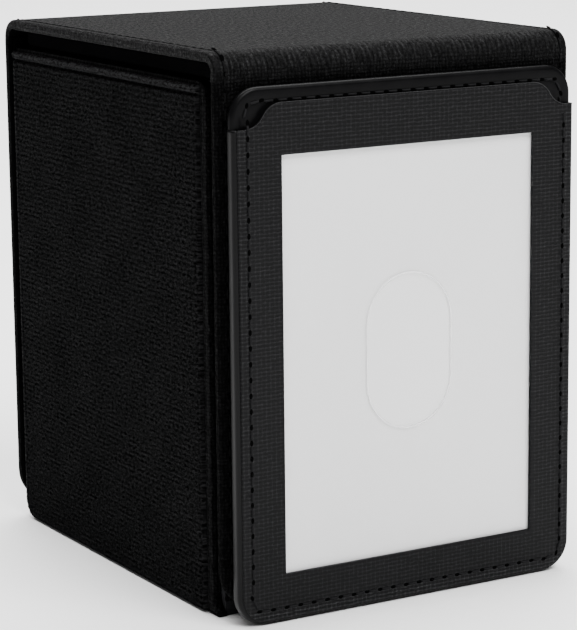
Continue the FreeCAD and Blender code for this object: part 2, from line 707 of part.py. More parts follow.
def make_stitching():
    """The seams round the lid, the flap, the rear panel and the holder."""
    radius = measure("thread_radius")
    seam = measure("cover_seam")
    edge = measure("cover_width / 2") - seam
    front, rear = measure("front_y"), measure("front_y + cover_depth")
    top, level = measure("total_height"), measure(FOLD_LEVEL)
    lid = []
    for x in (-edge, edge):
        start = FreeCAD.Vector(x, measure(LID_FRONT), 0)
        end = start + Y_AXIS * measure(LID_DEPTH)
        row = Part.Wire([Part.makeLine(start, end)])
        lid += stitches_on(row, lambda point: FreeCAD.Vector(point.x, point.y, top + radius))
    keep_stitches("lid_stitching", lid)
    low, corner = measure("panel_lift") + seam, measure("panel_corner") - seam
    hang = rounded_path(-edge, edge, low, level, corner, False)
    for label, y in (("flap_stitching", front - radius), ("rear_stitching", rear + radius)):
        keep_stitches(label, stitches_on(hang, lambda point: FreeCAD.Vector(point.x, y, point.z)))
    inset = measure("holder_seam")
    half, low = measure("holder_width / 2") - inset, measure("holder_lift") + inset
    high = measure("holder_lift + holder_tall") - inset
    ring = rounded_path(-half, half, low, high, measure("holder_corner") - inset, True)
    face = measure(FACE_FRONT)
    frame_face = measure(f"{FACE_FRONT} - pocket_depth - frame_sheet")
    clear_of_frame = measure(f"holder_lift + {FRAME_HEIGHT} - shoulder_radius + 0.6 * stitch_length")

    groove_reach = measure("groove_width / 2") - 1.2

    def on_holder(point):
        depth = (face if point.z > clear_of_frame else frame_face) - radius
        if point.z > high - 0.01 and abs(point.x) < groove_reach:
            depth = face + radius
        return FreeCAD.Vector(point.x, depth, point.z)

    keep_stitches("holder_stitching", stitches_on(ring, on_holder))


# ---- build, check and export ---------------------------------------------------------------------------

def check_and_export():
    """Stops if any object failed, then writes each sub-part to parts/LABEL.step."""
    doc.recompute()
    for obj in doc.Objects:
        if {"Invalid", "Error"} & set(obj.State):
            raise RuntimeError(f"{obj.Label} did not build: {obj.State}")
    os.makedirs("parts", exist_ok=True)
    for obj in kept:
        shape = obj.Shape
        if shape.isNull() or not shape.isValid() or not shape.Solids:
            raise RuntimeError(f"{obj.Label} has no valid solid")
        shape.exportStep(f"parts/{obj.Label}.step")


make_tray()
make_tray_lining()
make_sides()
make_cover()
make_holder_back()
make_holder_frame()
make_window()
make_card()
make_stitching()
check_and_export()
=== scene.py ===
import math

import bmesh
import bpy
from mathutils import Matrix, Vector, noise


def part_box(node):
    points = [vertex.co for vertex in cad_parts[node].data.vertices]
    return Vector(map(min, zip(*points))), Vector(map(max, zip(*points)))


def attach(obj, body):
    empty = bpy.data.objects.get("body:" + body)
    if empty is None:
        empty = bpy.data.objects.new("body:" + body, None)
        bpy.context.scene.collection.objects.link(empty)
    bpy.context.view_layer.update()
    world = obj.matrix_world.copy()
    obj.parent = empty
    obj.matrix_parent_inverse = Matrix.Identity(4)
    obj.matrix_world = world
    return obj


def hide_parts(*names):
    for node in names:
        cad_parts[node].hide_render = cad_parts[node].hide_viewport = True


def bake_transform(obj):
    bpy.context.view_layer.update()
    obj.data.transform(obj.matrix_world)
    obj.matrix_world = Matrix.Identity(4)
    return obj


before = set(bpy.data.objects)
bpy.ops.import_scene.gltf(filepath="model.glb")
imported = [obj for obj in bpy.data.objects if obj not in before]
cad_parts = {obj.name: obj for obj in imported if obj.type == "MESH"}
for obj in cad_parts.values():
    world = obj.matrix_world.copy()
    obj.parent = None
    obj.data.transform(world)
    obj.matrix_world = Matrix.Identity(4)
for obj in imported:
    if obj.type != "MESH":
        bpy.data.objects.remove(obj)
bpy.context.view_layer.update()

MM = 0.001


# ---- sizes, in millimetres ----------------------------

def span(node):
    """A CAD node's lowest and highest corners in millimetres."""
    low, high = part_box(node)
    return low / MM, high / MM


# The cover, from the frame: its faces, the levels where its folds and panels end, its thickness, and, along
# its path, the lengths of a fold and of the lid and the place where the flap starts.
FLAP_LOW, FLAP_HIGH = span("flap_skin")
LID_LOW, LID_HIGH = span("lid_skin")
FRONT, REAR = FLAP_LOW.y, span("rear_skin")[1].y
HALF = LID_HIGH.x
TOP, LEVEL, LIFT = LID_HIGH.z, FLAP_HIGH.z, FLAP_LOW.z
FOLD = TOP - LEVEL
SKIN = TOP - LID_LOW.z
FOLD_RUN = math.pi / 2 * FOLD
LID_RUN = LID_HIGH.y - LID_LOW.y
FLAP_RUN = 2 * FOLD_RUN + LID_RUN

# The cover as it is drawn: the lid's and the flap's thickness, the radii of a thick and a thin sheet's
# inner and outer edge, the panels' corners, how far in the seam runs and the turned edge reaches, how far
# the folds lap over their neighbours, and the pitches of the weave and the ribs.
SHEET = SKIN + 0.9
SHEET_EDGES, SKIN_EDGES = (0.55, 0.85), (0.35, 0.55)
PANEL_CORNER = 8.0
SEAM, TURNED_EDGE = 2.0, 1.0
OVERRUN = 1.5
WEAVE_PITCH, RIB_PITCH = 0.72, 1.05

# The display holder: its parts in the frame, its corners, its front sheet's thickness, how far that sheet is
# set in, its shoulders and opening, how far in the seam runs, and the width of the painted edge.
HOLDER_LOW, HOLDER_HIGH = span("holder_rear_sheet")
FACE_LOW = span("holder_face_sheet")[0]
FRAME_LOW, FRAME_HIGH = span("holder_frame")
WINDOW_LOW, WINDOW_HIGH = span("window_sheet")
HOLDER_HALF = HOLDER_HIGH.x
HOLDER_CORNER = 5.8
FRAME_SHEET = 0.7
FRAME_EDGE = 0.6
SHOULDER, SHOULDER_START = 4.7, 1.4
OPENING_HALF, OPENING_LOW, OPENING_TALL = 28.5, HOLDER_LOW.z + 9.3, 80.6
HOLDER_SEAM = 2.7
EDGE_BAND = 1.0

# The folds: each one's node, where it starts along the path, its bodies, and its thickness at its first end.
FOLDS = (("rear_fold", 0.0, ("tray", "lid"), SKIN / SHEET),
         ("front_fold", FOLD_RUN + LID_RUN, ("lid", "flap"), 1.0))

# Seams: the length from stitch to stitch, then each seam's slot, its thread (radius, length of a stitch, how
# deep it sinks) and its needle holes (half their length and width, how far they stand proud).
STITCH_PITCH = 3.0
COVER_SEWING = ("black_thread", (0.17, 2.2, 0.1), (0.34, 0.2, 0.03))
FOLD_SEWING = ("black_thread", (0.2, 2.3, 0.1), (0.75, 0.45, 0.04))
HOLDER_SEWING = ("grey_thread", (0.25, 2.3, 0.08), (0.60, 0.36, 0.06))


# ---- mesh helpers -------------------------------------

def new_object(name, data):
    """An object in the scene from a mesh, a light or a camera."""
    obj = bpy.data.objects.new(name, data)
    bpy.context.scene.collection.objects.link(obj)
    return obj


def smooth_object(name, mesh):
    """A mesh object in the scene, shaded smooth."""
    mesh.polygons.foreach_set("use_smooth", [True] * len(mesh.polygons))
    return new_object(name, mesh)


def make_mesh(name, points, faces, cloth=None, stretch=None, second=()):
    """An object from points in millimetres. cloth gives each point's place on the flat fabric, stretch how
    far the fabric is pulled there, and second lists the faces with the second material."""
    mesh = bpy.data.meshes.new(name)
    mesh.from_pydata([Vector(p) * MM for p in points], [], faces)
    if cloth:
        layer = mesh.attributes.new("cloth", "FLOAT_VECTOR", "POINT")
        layer.data.foreach_set("vector", [value for c in cloth for value in (c[0], c[1], 0.0)])
    if stretch:
        layer = mesh.attributes.new("stretch", "FLOAT", "POINT")
        layer.data.foreach_set("value", stretch)
    for index in second:
        mesh.polygons[index].material_index = 1
    return smooth_object(name, mesh)


def dress(obj, *materials):
    """Gives the object its materials."""
    for material in materials:
        obj.data.materials.append(material)
    return obj


def install(obj, body, slot, *nodes):
    """The piece rides on a body and stands for CAD nodes, which it hides. slot is not used."""
    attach(obj, body)
    if nodes:
        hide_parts(*nodes)
    return obj


def spaced(start, end, steps):
    """Evenly spaced numbers, both ends included."""
    return [start + (end - start) * i / steps for i in range(steps + 1)]


def arc(centre, radius, start, end, steps):
    """Points on an arc, angles in degrees, both ends included."""
    angles = [math.radians(angle) for angle in spaced(start, end, steps)]
    return [Vector((centre[0] + radius * math.cos(a), centre[1] + radius * math.sin(a))) for a in angles]


def inward(a, b):
    """The unit normal on the left of the way from a to b."""
    way = (b - a).normalized()
    return Vector((-way.y, way.x))


def offset(outline, distance):
    """A closed outline moved inward, with mitred corners."""
    moved = []
    for i, point in enumerate(outline):
        first = inward(outline[i - 1], point)
        second = inward(point, outline[(i + 1) % len(outline)])
        moved.append(point + (first + second) * (distance / (1 + first.dot(second))))
    return moved


def unrolled(profile):
    """The inset of each (inset, height) of a profile once the rim is unrolled flat about its last point."""
    insets = [profile[-1][0]]
    for (x0, h0), (x1, h1) in zip(profile[-2::-1], profile[:0:-1]):
        insets.append(insets[-1] - math.hypot(x1 - x0, h1 - h0))
    return insets[::-1]


def fill(points, loops):
    """Triangles across a flat face between an outer loop and its holes, each a list of point numbers."""
    bm = bmesh.new()
    verts = {}
    for loop in loops:
        for index in loop:
            verts[index] = bm.verts.new(points[index])
    edges = []
    for loop in loops:
        for a, b in zip(loop, loop[1:] + loop[:1]):
            edges.append(bm.edges.new((verts[a], verts[b])))
    number = {vert: index for index, vert in verts.items()}
    bmesh.ops.triangle_fill(bm, edges=edges, use_beauty=True, use_dissolve=False)
    faces = [[number[v] for v in face.verts] for face in bm.faces]
    bm.free()
    return faces


def plate(name, outline, profile, place, hole=None, hole_profile=None, open_top=False, flip=False):
    """A flat plate with a rim. profile is (inset, height) from the back face round to the front face, and
    place(a, b, height) gives the outline's point a, b its place in the part. With open_top the side that
    closes the outline is held at its level and gets no rim. hole cuts a window with a rim of its own."""
    points, cloth, faces = [], [], []
    loops = {"back": [], "front": []}
    top = max(p.y for p in outline)
    for shape, rim, sign in ((outline, profile, 1), (hole, hole_profile, -1)):
        if shape is None:
            continue
        flat = unrolled(rim)
        start = len(points)
        count = len(shape)
        for (inset, height), flat_inset in zip(rim, flat):
            ring, pattern = offset(shape, sign * inset), offset(shape, sign * flat_inset)
            for number, (at, on) in enumerate(zip(ring, pattern)):
                if open_top and number in (0, count - 1):
                    at.y = on.y = top
                points.append(place(at.x, at.y, height))
                cloth.append((on.x, on.y))
        sides = count - 1 if open_top and sign > 0 else count
        for ring in range(len(rim) - 1):
            for i in range(sides):
                j = (i + 1) % count
                low, high = start + ring * count, start + (ring + 1) * count
                quad = [low + i, low + j, high + j, high + i]
                faces.append(quad if (sign > 0) != flip else quad[::-1])
        loops["back"].append(list(range(start, start + count)))
        last = start + (len(rim) - 1) * count
        loops["front"].append(list(range(last, last + count)))
    for side in ("back", "front"):
        if hole is None:
            loop = loops[side][0]
            backward = (side == "front") == flip
            faces.append(loop[::-1] if backward else loop)
        else:
            faces += fill(points, loops[side])
    obj = make_mesh(name, points, faces, cloth)
    if hole is not None:
        bm = bmesh.new()
        bm.from_mesh(obj.data)
        bmesh.ops.recalc_face_normals(bm, faces=bm.faces)
        bm.to_mesh(obj.data)
        bm.free()
    return obj


def upright_place(y, facing=-1):
    """Places a plate on an upright plane at y that faces the front, or the rear where facing is 1."""
    return lambda a, b, height: Vector((a, y + facing * height, b))


def side_place(x, outward):
    """Places a plate on a side of the box. a runs along Y and b along Z."""
    return lambda a, b, height: Vector((x + outward * height, a, b))


def lower_corners(half, low, radius, steps):
    """Two rounded lower corners, from the left side round the bottom to the right side."""
    left = arc((-half + radius, low + radius), radius, 180, 270, steps)
    return left + arc((half - radius, low + radius), radius, 270, 360, steps)


def hanging_path(half, low, high, radius, steps=16):
    """Down the left, round the bottom and up the right."""
    return [Vector((-half, high))] + lower_corners(half, low, radius, steps) + [Vector((half, high))]


def rounded_rectangle(half, low, high, radius, steps=10):
    """A closed outline with four rounded corners, from the right side round over the top."""
    upper = arc((half - radius, high - radius), radius, 0, 90, steps)
    upper += arc((-half + radius, high - radius), radius, 90, 180, steps)
    return upper + lower_corners(half, low, radius, steps)


def tube(first, rings, sides):
    """The quads between rings of points that are numbered on from first."""
    quads = []
    for ring in range(rings - 1):
        for side in range(sides):
            a, b = first + ring * sides + side, first + ring * sides + (side + 1) % sides
            quads.append([a, b, b + sides, a + sides])
    return quads


def rim_arc(inset, height, radius, start, end, steps=5):
    """A stretch of a rim profile, as (inset, height) along an arc."""
    return [(p.x, p.y) for p in arc((inset, height), radius, start, end, steps)]


def rounded_box(name, low, high, radius, segments):
    """A box with rounded edges, its corners in millimetres."""
    bm = bmesh.new()
    bmesh.ops.create_cube(bm, size=1)
    low, high = Vector(low), Vector(high)
    size, middle = high - low, (high + low) / 2
    for vert in bm.verts:
        vert.co = Vector([middle[i] + vert.co[i] * size[i] for i in range(3)]) * MM
    bmesh.ops.bevel(bm, geom=bm.edges[:], offset=radius * MM, segments=segments, profile=0.5,
                    affect="EDGES")
    mesh = bpy.data.meshes.new(name)
    bm.to_mesh(mesh)
    bm.free()
    obj = smooth_object(name, mesh)
    obj.modifiers.new("flat faces stay flat", "WEIGHTED_NORMAL")
    return obj


# ---- materials ----------------------------------------

class Shader:
    """A material under construction: each call adds one node and returns its output."""

    def __init__(self, name):
        self.material = bpy.data.materials.new(name)
        self.material.use_nodes = True
        self.nodes = self.material.node_tree.nodes
        self.links = self.material.node_tree.links
        self.principled = self.nodes["Principled BSDF"]

    def put(self, socket, value):
        """Links an output or sets a value."""
        if isinstance(value, bpy.types.NodeSocket):
            self.links.new(value, socket)
        else:
            socket.default_value = value

    def add(self, kind, output=0, settings=None, **inputs):
        """Adds a shader node, sets its properties and its inputs by name or number."""
        node = self.nodes.new("ShaderNode" + kind)
        for key, value in (settings or {}).items():
            setattr(node, key, value)
        for key, value in inputs.items():
            self.put(node.inputs[int(key[1:]) if key[0] == "i" and key[1:].isdigit() else key], value)
        return node.outputs[output]

    def math(self, operation, a, b=0.0, c=0.0):
        return self.add("Math", settings={"operation": operation}, i0=a, i1=b, i2=c)

    def times(self, *factors):
        """The product of all the factors."""
        product = factors[0]
        for factor in factors[1:]:
            product = self.math("MULTIPLY", product, factor)
        return product

    def vector_math(self, operation, a, b):
        return self.add("VectorMath", settings={"operation": operation}, i0=a, i1=b)

    def noise(self, where, scale, detail=3.0, roughness=0.55):
        return self.add("TexNoise", Vector=where, Scale=scale, Detail=detail,
                        Roughness=roughness)

    def streaks(self, where, across, along, detail=3.0, roughness=0.55, through=1):
        """Noise with a scale of its own across, along and through the fabric."""
        where = self.vector_math("MULTIPLY", where, (across, along, through))
        return self.noise(where, 1.0, detail, roughness)

    def ramp(self, value, low=0.3, high=0.7, to_low=0.0, to_high=1.0):
        """value stretched from low..high to to_low..to_high, and held there beyond. Smooth noise runs from
        about 0.3 to 0.7."""
        return self.add("MapRange", i0=value, i1=low, i2=high, i3=to_low, i4=to_high)

    def colour(self, factor, first, second):
        """A mix of two colours."""
        return self.add("Mix", output=2, settings={"data_type": "RGBA"}, i0=factor,
                        i6=(*first, 1), i7=(*second, 1))

    def cloth(self):
        """Millimetres on the flat fabric."""
        return self.add("Attribute", output=1, settings={"attribute_name": "cloth"})

    def solid(self):
        """Millimetres in the piece's own frame."""
        place = self.add("TexCoord", output=3)
        return self.vector_math("MULTIPLY", place, (1000, 1000, 1000))

    def split(self, vector):
        node = self.nodes.new("ShaderNodeSeparateXYZ")
        self.put(node.inputs[0], vector)
        return node.outputs

    def bump(self, height, depth, strength=1.0, onto=None):
        """A normal from a height that runs from 0 to 1, depth millimetres high."""
        inputs = {"Strength": strength, "Distance": depth * MM, "Height": height}
        if onto is not None:
            inputs["Normal"] = onto
        return self.add("Bump", **inputs)

    def finish(self, colour, roughness, normal=None, **constants):
        """Sets the shader's colour, roughness and normal, and its constant sockets by name."""
        self.put(self.principled.inputs["Base Color"], colour)
        self.put(self.principled.inputs["Roughness"], roughness)
        if normal is not None:
            self.put(self.principled.inputs["Normal"], normal)
        for key, value in constants.items():
            self.principled.inputs[key.replace("_", " ")].default_value = value
        return self.material


def wavy(s, where, amount, scale):
    """The place moved about by smooth noise."""
    drift = s.add("TexNoise", output=1, Vector=where, Scale=scale, Detail=2.0)
    drift = s.vector_math("SUBTRACT", drift, (0.5, 0.5, 0.5))
    drift = s.vector_math("MULTIPLY", drift, (amount, amount, 0))
    return s.vector_math("ADD", where, drift)


def weave_height(s, where, pitch):
    """The height of a plain weave, 0 to 1."""
    x, y, _ = s.split(where)
    across = s.math("SINE", s.times(x, math.pi / pitch))
    along = s.math("SINE", s.times(y, math.pi / pitch))
    a, b = s.math("ABSOLUTE", across), s.math("ABSOLUTE", along)
    over = s.math("GREATER_THAN", s.times(across, along), 0.0)
    crown = 0.45
    warp = s.times(a, s.math("MULTIPLY_ADD", b, crown, 1 - crown))
    weft = s.times(b, s.math("MULTIPLY_ADD", a, crown, 1 - crown))
    return s.add("Mix", i0=over, i2=weft, i3=warp)


def pulled_ribs(s, where):
    """The ribs that open where the fabric is pulled over a fold, 0 to 1, broken along their length."""
    pitch = 1.15
    ribs = s.math("ABSOLUTE", s.math("SINE", s.times(s.split(where)[0], math.pi / pitch)))
    broken = s.streaks(where, 1.3, 0.45, 2.0)
    return s.times(s.math("POWER", ribs, 1.6), s.ramp(broken, 0.32, 0.62, 0.25, 1.0))


def cover_fabric(name, gloss, solid_axes=None):
    """Black woven polyester: a plain weave of round threads with pale flecks where the light catches. The
    threads' crowns are painted lighter and the gaps between them darker, a painted highlight and painted
    shade. From the front fold's foot down it is painted darker, a painted shade for the flap, and darker
    still on the flap's turned edges. A node with no flat pattern lays its weave along two of its own axes."""
    s = Shader(name)
    place = s.cloth()
    if solid_axes:
        parts = s.split(s.solid())
        place = s.add("CombineXYZ", X=parts[solid_axes[0]], Y=parts[solid_axes[1]])
    where = wavy(s, wavy(s, place, 0.9, 0.12), 0.25, 0.9)
    height = weave_height(s, where, WEAVE_PITCH)
    stretch = s.add("Attribute", output=2, settings={"attribute_name": "stretch"})
    pulled = s.add("Mix", i0=s.times(stretch, 0.75), i2=height, i3=pulled_ribs(s, where))
    flecks = s.streaks(place, 1.9, 1.5, 3.0, 0.75)
    fibres = s.streaks(place, 3.6, 3.6, 3.0, 0.7)
    coarse = s.streaks(place, 1.0, 0.36, 2.0, 0.6)
    slubs = s.streaks(place, 2.2, 0.8, 3.0, 0.8)
    cloudy = s.noise(place, 0.16)
    on_x, run, _ = s.split(place)
    turned = s.math("GREATER_THAN", s.math("ABSOLUTE", on_x), HALF - TURNED_EDGE)
    # Painted shade: from the front fold's foot down the flap is darkened, and its turned edges more,
    # standing in for the shade the flap sits in.
    flap_edge_shade = s.ramp(run, FLAP_RUN - 3.5, FLAP_RUN + 2.0, 0.0, 0.25)
    painted_shade = s.ramp(run, FLAP_RUN - 2.0, FLAP_RUN + 1.0, 0.0, 0.40)
    painted_shade = s.math("ADD", painted_shade, s.times(turned, flap_edge_shade))
    # The weave's crowns are painted lighter and the gaps between the threads darker: painted highlight and
    # painted shade at the scale of the threads.
    level = s.times(s.ramp(flecks, 0.40, 0.60, 0.25, 1.0), s.ramp(fibres, 0.36, 0.62, 0.35, 1.0),
                    s.ramp(pulled, 0.15, 0.9, 0.2, 1.0), s.ramp(cloudy, 0.3, 0.7, 0.8, 1.1),
                    s.ramp(coarse, 0.42, 0.60, 0.55, 1.1), s.ramp(stretch, 0.0, 1.0, 1.0, 1.35),
                    s.math("SUBTRACT", 1.0, painted_shade))
    colour = s.colour(level, (0.0002, 0.0002, 0.0002), (0.0210, 0.0210, 0.0216))
    rough = s.bump(slubs, 0.40, 0.8, s.bump(coarse, 0.9, 0.8))
    normal = s.bump(pulled, 0.14, 0.7, rough)
    return s.finish(colour, s.ramp(slubs, 0.38, 0.62, 0.45, 0.85), normal, Specular_IOR_Level=gloss)


def panel_fabric():
    """Brushed ribbed fabric: soft rows of fuzz, painted darker in the gaps between the tufts and in the
    ribs' valleys as painted shade. Its rolled top and its rear edge are paler, a painted highlight where
    they catch the light."""
    s = Shader("panel_fabric")
    place = s.cloth()
    tufts = s.noise(wavy(s, s.vector_math("MULTIPLY", place, (1.1, 1.9, 1)), 0.6, 0.5), 1.0, 3.0, 0.75)
    fibres = s.streaks(place, 2.6, 3.4, 3.0, 0.7)
    cloudy = s.noise(place, 0.09, 2.0)
    rows = s.split(wavy(s, place, 0.40, 0.5))[1]
    rib = s.math("SINE", s.times(rows, 2 * math.pi / RIB_PITCH))
    # Painted shade: the gaps between the tufts and the ribs' valleys come out darker.
    level = s.math("ADD", s.ramp(tufts, 0.39, 0.63), s.times(rib, 0.16))
    high = span("left_side_panel")[1]
    on_y, on_z, _ = s.split(place)
    # Painted highlight: the rolled top and the rear edge are paler, where they catch the light.
    top_roll = s.math("GREATER_THAN", on_z, high.z - 1.6)
    rear_edge = s.math("GREATER_THAN", on_y, high.y - 0.9)
    painted_light = s.math("MAXIMUM", top_roll, rear_edge)
    level = s.times(s.ramp(level, -0.1, 1.1), s.ramp(fibres, 0.40, 0.58, 0.25, 1.0),
                    s.ramp(cloudy, 0.3, 0.7, 0.8, 1.1), s.ramp(painted_light, 0.0, 1.0, 0.50, 1.0))
    colour = s.colour(level, (0.0002, 0.0002, 0.0002), (0.0410, 0.0410, 0.0422))
    normal = s.bump(tufts, 0.35, 0.6, s.bump(fibres, 0.12, 0.5))
    return s.finish(colour, 1.0, normal, Specular_IOR_Level=0.0)


def soft_black(name, colour, depth, grain):
    """Suede or flock: a nap of tiny fibres, nearly black. depth is the nap's height in millimetres."""
    s = Shader(name)
    place = s.solid()
    nap = s.noise(place, grain, 4.0, 0.7)
    brushed = s.noise(place, 0.12)
    level = s.times(s.ramp(nap), s.ramp(brushed, 0.3, 0.7, 0.5, 1.0))
    mix = s.colour(level, [c * 0.35 for c in colour], colour)
    return s.finish(mix, 1.0, s.bump(nap, depth, 0.6), Specular_IOR_Level=0.0)


def smooth_leatherette(name, gloss):
    """Charcoal leatherette with hardly any grain. A glossier one is the paint on the holder's edge."""
    s = Shader(name)
    place = s.solid()
    pores = s.add("TexVoronoi", Vector=place, Scale=2.2)
    cloudy = s.noise(place, 0.25, 4.0)
    colour = s.colour(s.ramp(cloudy), (0.0014, 0.0014, 0.0016), (0.0024, 0.0024, 0.0026))
    normal = s.bump(s.ramp(pores, 0.0, 0.5), 0.02, 0.25)
    return s.finish(colour, s.ramp(cloudy, 0.3, 0.7, 0.30, 0.36), normal, Specular_IOR_Level=gloss)


def raised_lines(s, value, pitch, width):
    """Rounded lines across a value: 1 on a line's crest and 0 between the lines."""
    phase = s.math("PINGPONG", value, pitch / 2)
    return s.ramp(phase, pitch / 2 * (1 - width), pitch / 2)


def grained_leatherette():
    """Charcoal leatherette embossed with a cross-hatch of fine raised lines whose crests are painted
    lighter, and with painted light on the strips outside the seam.
    """
    s = Shader("grained_leatherette")
    place = s.cloth()
    where = wavy(s, wavy(s, place, 0.30, 0.8), 0.28, 1.3)
    x, z, _ = s.split(where)
    worn = s.streaks(place, 0.9, 2.4, 3.0, 0.6)
    weft = s.times(raised_lines(s, z, 0.77, 0.60), s.ramp(worn, 0.36, 0.62, 0.25, 1.0))
    other = s.streaks(place, 2.4, 0.9, 3.0, 0.6)
    warp = s.times(raised_lines(s, x, 1.0, 0.45), s.ramp(other, 0.38, 0.64, 0.05, 0.75))
    hatch = s.math("ADD", s.times(s.math("ADD", weft, warp), 0.45), s.times(weft, warp, 0.6))
    pebble = s.noise(place, 2.6)
    height = s.math("ADD", s.times(hatch, 0.9), s.times(pebble, 0.45))
    on_x, on_z, _ = s.split(place)
    seam = HOLDER_HALF - HOLDER_SEAM
    # Painted light: the strips outside the seam are paler, most at the foot, then on the right, least on the
    # left, standing in for the light that the holder's edges catch from the pale floor.
    foot = s.times(s.math("LESS_THAN", on_z, HOLDER_LOW.z + HOLDER_SEAM), 0.50)
    right = s.times(s.math("GREATER_THAN", on_x, seam), 0.28)
    left = s.times(s.math("LESS_THAN", on_x, -seam), 0.10)
    painted_light = s.math("MAXIMUM", s.math("MAXIMUM", foot, right), left)
    # The raised lines' crests are painted lighter than the ground between them: a painted highlight.
    level = s.times(s.ramp(height, 0.24, 0.80), s.math("ADD", painted_light, 0.43))
    colour = s.colour(level, (0.0018, 0.0018, 0.0020), (0.0270, 0.0270, 0.0284))
    return s.finish(colour, s.ramp(pebble, 0.3, 0.7, 0.45, 0.60), s.bump(height, 0.12, 0.6),
                    Specular_IOR_Level=0.08)


def thread(name, colour):
    """Twisted sewing thread."""
    s = Shader(name)
    place = s.solid()
    strands = s.noise(place, 6.0, 2.0)
    mix = s.colour(s.ramp(strands), [c * 0.5 for c in colour], colour)
    return s.finish(mix, 0.85, s.bump(strands, 0.08, 0.8), Specular_IOR_Level=0.06)


def fine_grain(name, dark, light):
    """Board, foam or rubber: an irregular grain in layers, between two tones."""
    s = Shader(name)
    place = s.solid()
    fibres = s.noise(place, 1.6, 4.0, 0.7)
    layers = s.streaks(place, 0.4, 0.4, through=4.0)
    mix = s.colour(s.times(s.ramp(fibres), s.ramp(layers, 0.3, 0.7, 0.6, 1.0)), dark, light)
    return s.finish(mix, 0.88, s.bump(fibres, 0.04, 0.5), Specular_IOR_Level=0.2)


def card_stock():
    """Plain pale card with a satin coat and a faint grain."""
    s = Shader("card_stock")
    place = s.solid()
    grain = s.noise(place, 3.5)
    cloudy = s.noise(place, 0.02, 1.0)
    mix = s.colour(s.ramp(cloudy), (0.72, 0.72, 0.722), (0.76, 0.76, 0.762))
    return s.finish(mix, s.ramp(grain, 0.3, 0.7, 0.42, 0.5), s.bump(grain, 0.008, 0.3))


def clear_film(name, alpha, colour):
    """Clear stiff film with a faint haze."""
    s = Shader(name)
    haze = s.noise(s.solid(), 0.08, 2.0)
    mix = s.colour(haze, [c * 0.96 for c in colour], colour)
    return s.finish(mix, s.ramp(haze, 0.3, 0.7, 0.06, 0.10), None, Alpha=alpha)


def metal(name, colour):
    """Plated metal with a fine brushed grain."""
    s = Shader(name)
    grain = s.streaks(s.solid(), 1, 1, through=8)
    mix = s.colour(s.ramp(grain), [c * 0.85 for c in colour], colour)
    return s.finish(mix, s.ramp(grain, 0.3, 0.7, 0.28, 0.42), s.bump(grain, 0.01, 0.3), Metallic=1.0)


COVER = cover_fabric("cover_fabric", 0.03)
# The flap's copy of the cover has less gloss, so the flap reads darker: painted shade.
SHADED_FLAP_COVER = cover_fabric("shaded_flap_fabric", 0.008)
COVER_FRONT = cover_fabric("cover_fabric_front", 0.03, (0, 2))
PANEL = panel_fabric()
LINING = soft_black("lining_suede", (0.0032, 0.0032, 0.0034), 0.06, 3.0)
FLOCK = soft_black("flock", (0.010, 0.010, 0.011), 0.10, 4.0)
SMOOTH = smooth_leatherette("smooth_leatherette", 0.055)
EDGE_PAINT = smooth_leatherette("edge_paint", 0.09)
# A pale strip along the frame's top edge: a painted highlight.
EDGE_HIGHLIGHT = fine_grain("painted_edge_highlight", (0.012, 0.012, 0.0125), (0.036, 0.036, 0.037))
GRAINED = grained_leatherette()
THREADS = {"black_thread": thread("black_thread", (0.003, 0.003, 0.0032)),
           "grey_thread": thread("grey_thread", (0.010, 0.010, 0.0106))}
# Dark spots for the needle holes: painted shade for their insides.
NEEDLE_HOLE_SHADE = soft_black("needle_hole_shade", (0.002, 0.002, 0.002), 0.02, 4.0)
BLACK_BOARD = fine_grain("black_board", (0.006, 0.006, 0.007), (0.018, 0.018, 0.020))
GREYBOARD = fine_grain("greyboard", (0.20, 0.19, 0.175), (0.36, 0.35, 0.33))
FOAM = fine_grain("foam", (0.10, 0.10, 0.11), (0.22, 0.22, 0.23))
CARD = card_stock()
FILM = clear_film("clear_film", 0.02, (0.42, 0.42, 0.43))
# A near-white, half-clear ring round the thumb slot: a painted highlight on its polished edge.
FILM_HIGHLIGHT_RING = clear_film("slot_edge_highlight", 0.40, (0.97, 0.97, 0.98))
STEEL = metal("steel_plate", (0.56, 0.56, 0.57))
MAGNET = metal("magnet", (0.62, 0.61, 0.60))
RUBBER = fine_grain("grip_rubber", (0.008, 0.008, 0.009), (0.014, 0.014, 0.015))


# ---- the cover ----------------------------------------

# The pressed line where a seam is sewn, as (distance from the seam, rise), and the inset where a rim ends.
SEAM_LINE = ((-0.42, 0.0), (-0.22, -0.05), (-0.1, -0.2), (0.0, -0.26), (0.1, -0.2), (0.22, -0.05),
             (0.45, 0.02), (0.8, 0.0))
RIM_REACH = 3.6


def cover_profile(thick, inner, outer):
    """The cover's rim, (inset, height) from the inner face round its edge to the outer face, with the radii
    of its two edges. A pressed line runs where the seam is sewn."""
    rim = [(RIM_REACH, 0.0), (inner + 0.15, 0.0)]
    rim += rim_arc(inner, inner, inner, 270, 180)
    rim += rim_arc(outer, thick - outer, outer, 180, 90, 6)
    rim += [(SEAM + aside, thick + rise) for aside, rise in SEAM_LINE]
    return rim + [(RIM_REACH, thick)]


def wrap(run):
    """The cover's outer face, run millimetres on from the rear fold's foot over the lid and down the flap:
    its y and z, and its outward normal's y and z."""
    if run < 0:
        return REAR, LEVEL + run, 1.0, 0.0
    if run >= FLAP_RUN:
        return FRONT, LEVEL - (run - FLAP_RUN), -1.0, 0.0
    if FOLD_RUN <= run < FOLD_RUN + LID_RUN:
        return REAR - FOLD - (run - FOLD_RUN), TOP, 0.0, 1.0
    if run < FOLD_RUN:
        centre, turn = REAR - FOLD, run / FOLD
    else:
        centre, turn = FRONT + FOLD, (run - LID_RUN) / FOLD
    out_y, out_z = math.cos(turn), math.sin(turn)
    return centre + FOLD * out_y, LEVEL + FOLD * out_z, out_y, out_z


